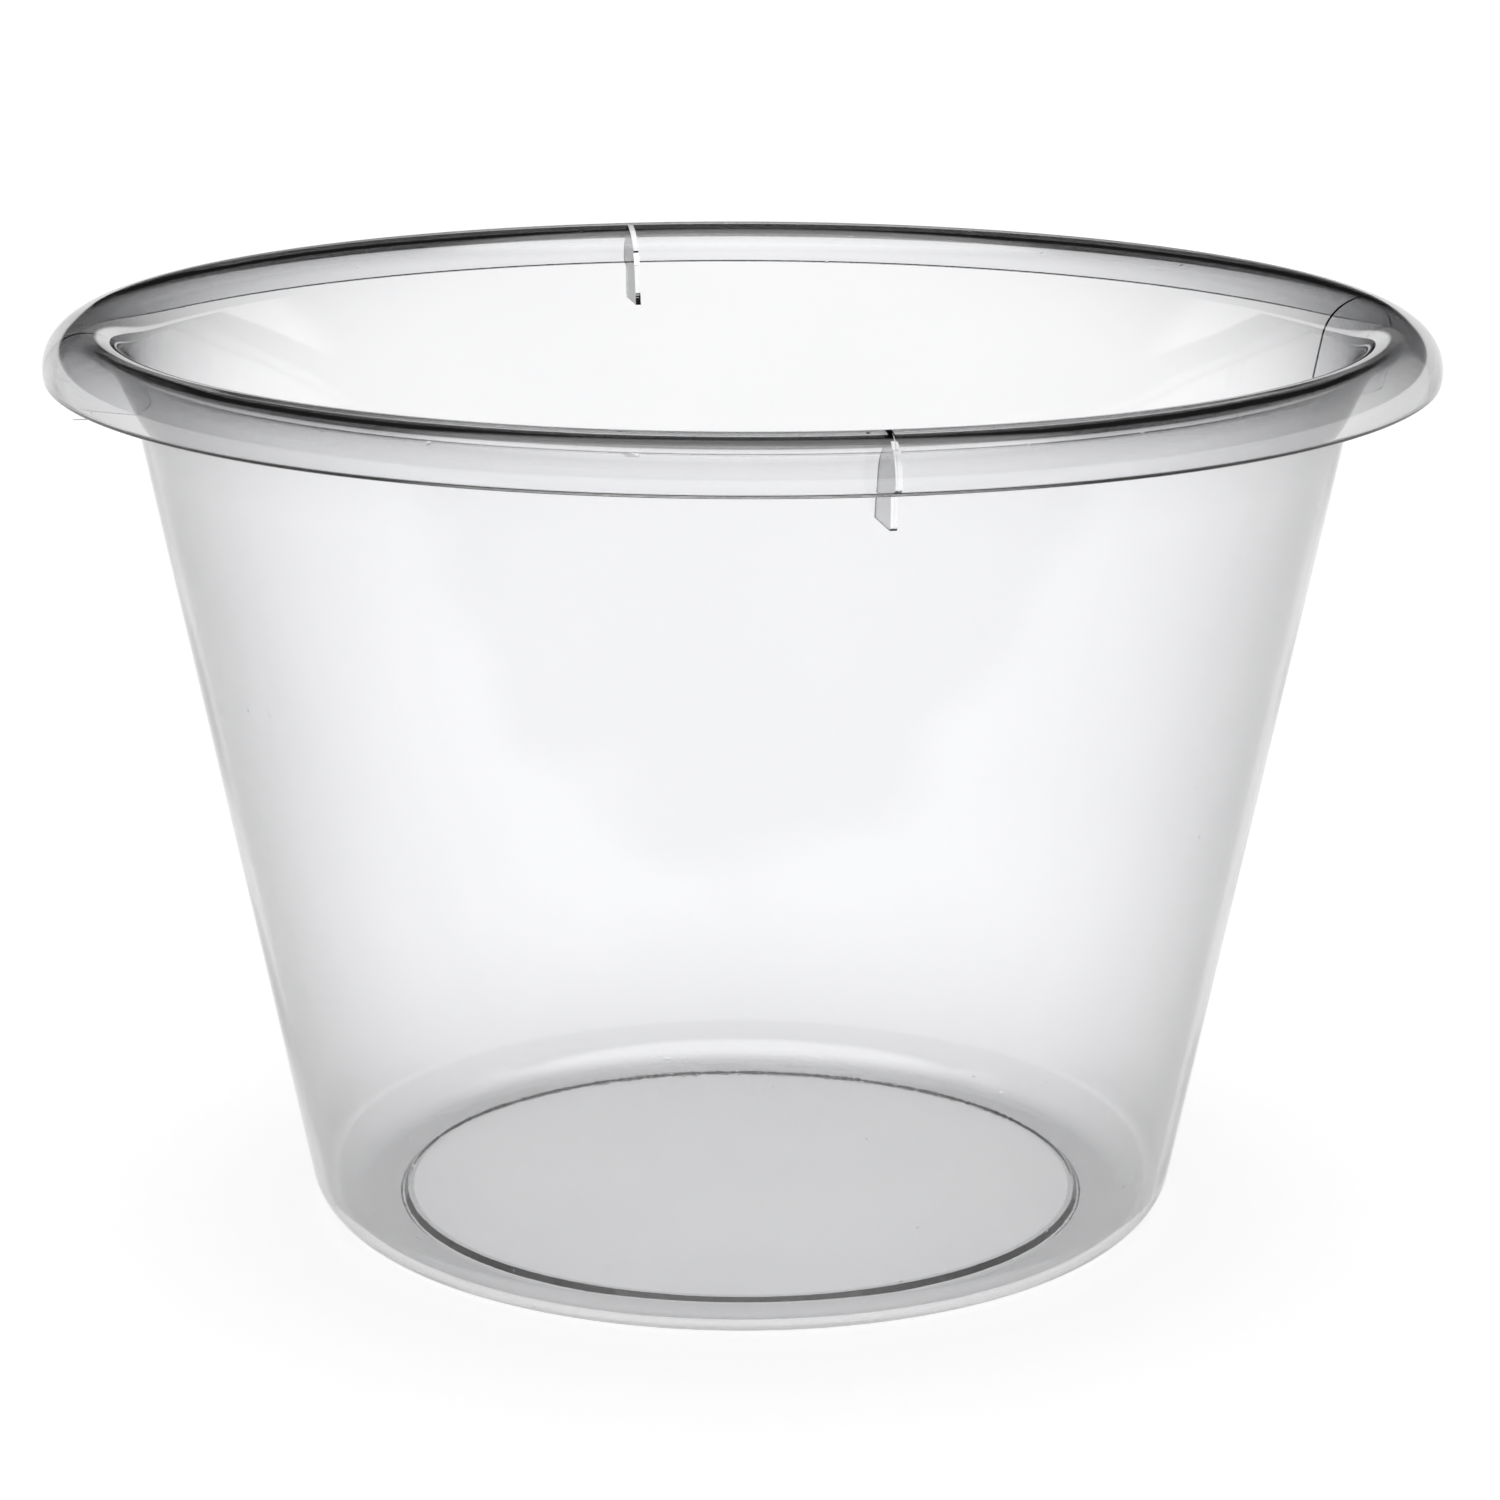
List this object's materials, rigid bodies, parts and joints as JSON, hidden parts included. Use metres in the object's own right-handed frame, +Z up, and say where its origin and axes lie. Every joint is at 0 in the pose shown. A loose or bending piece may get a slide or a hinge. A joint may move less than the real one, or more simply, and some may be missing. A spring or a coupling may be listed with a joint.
{
  "type": "baby bathtub",
  "caption": "Clear bucket-shaped baby bathtub: tapered round wall, flat floor with a raised disc, and a rolled rim held off the wall by upright ribs.",
  "frame": {"origin": "centre of the underside of the foot ring, on the surface that the tub stands on", "axes": "+Z up along the tub's axis, -Y towards the front rib, +X towards the right rib"},
  "size_m": [0.45, 0.45, 0.3],
  "materials": {
    "clear_plastic": "clear moulded polypropylene with a faint cool grey cast, glossy"
  },
  "bodies": {
    "root": {"side_wall": "clear_plastic", "base_corner": "clear_plastic", "foot_ring": "clear_plastic", "floor_disc": "clear_plastic", "rim_inner_bend": "clear_plastic", "rim_crest": "clear_plastic", "rim_lip": "clear_plastic", "rim_rib_front": "clear_plastic", "rim_rib_right": "clear_plastic", "rim_rib_back": "clear_plastic", "rim_rib_left": "clear_plastic"}
  },
  "joints": []
}
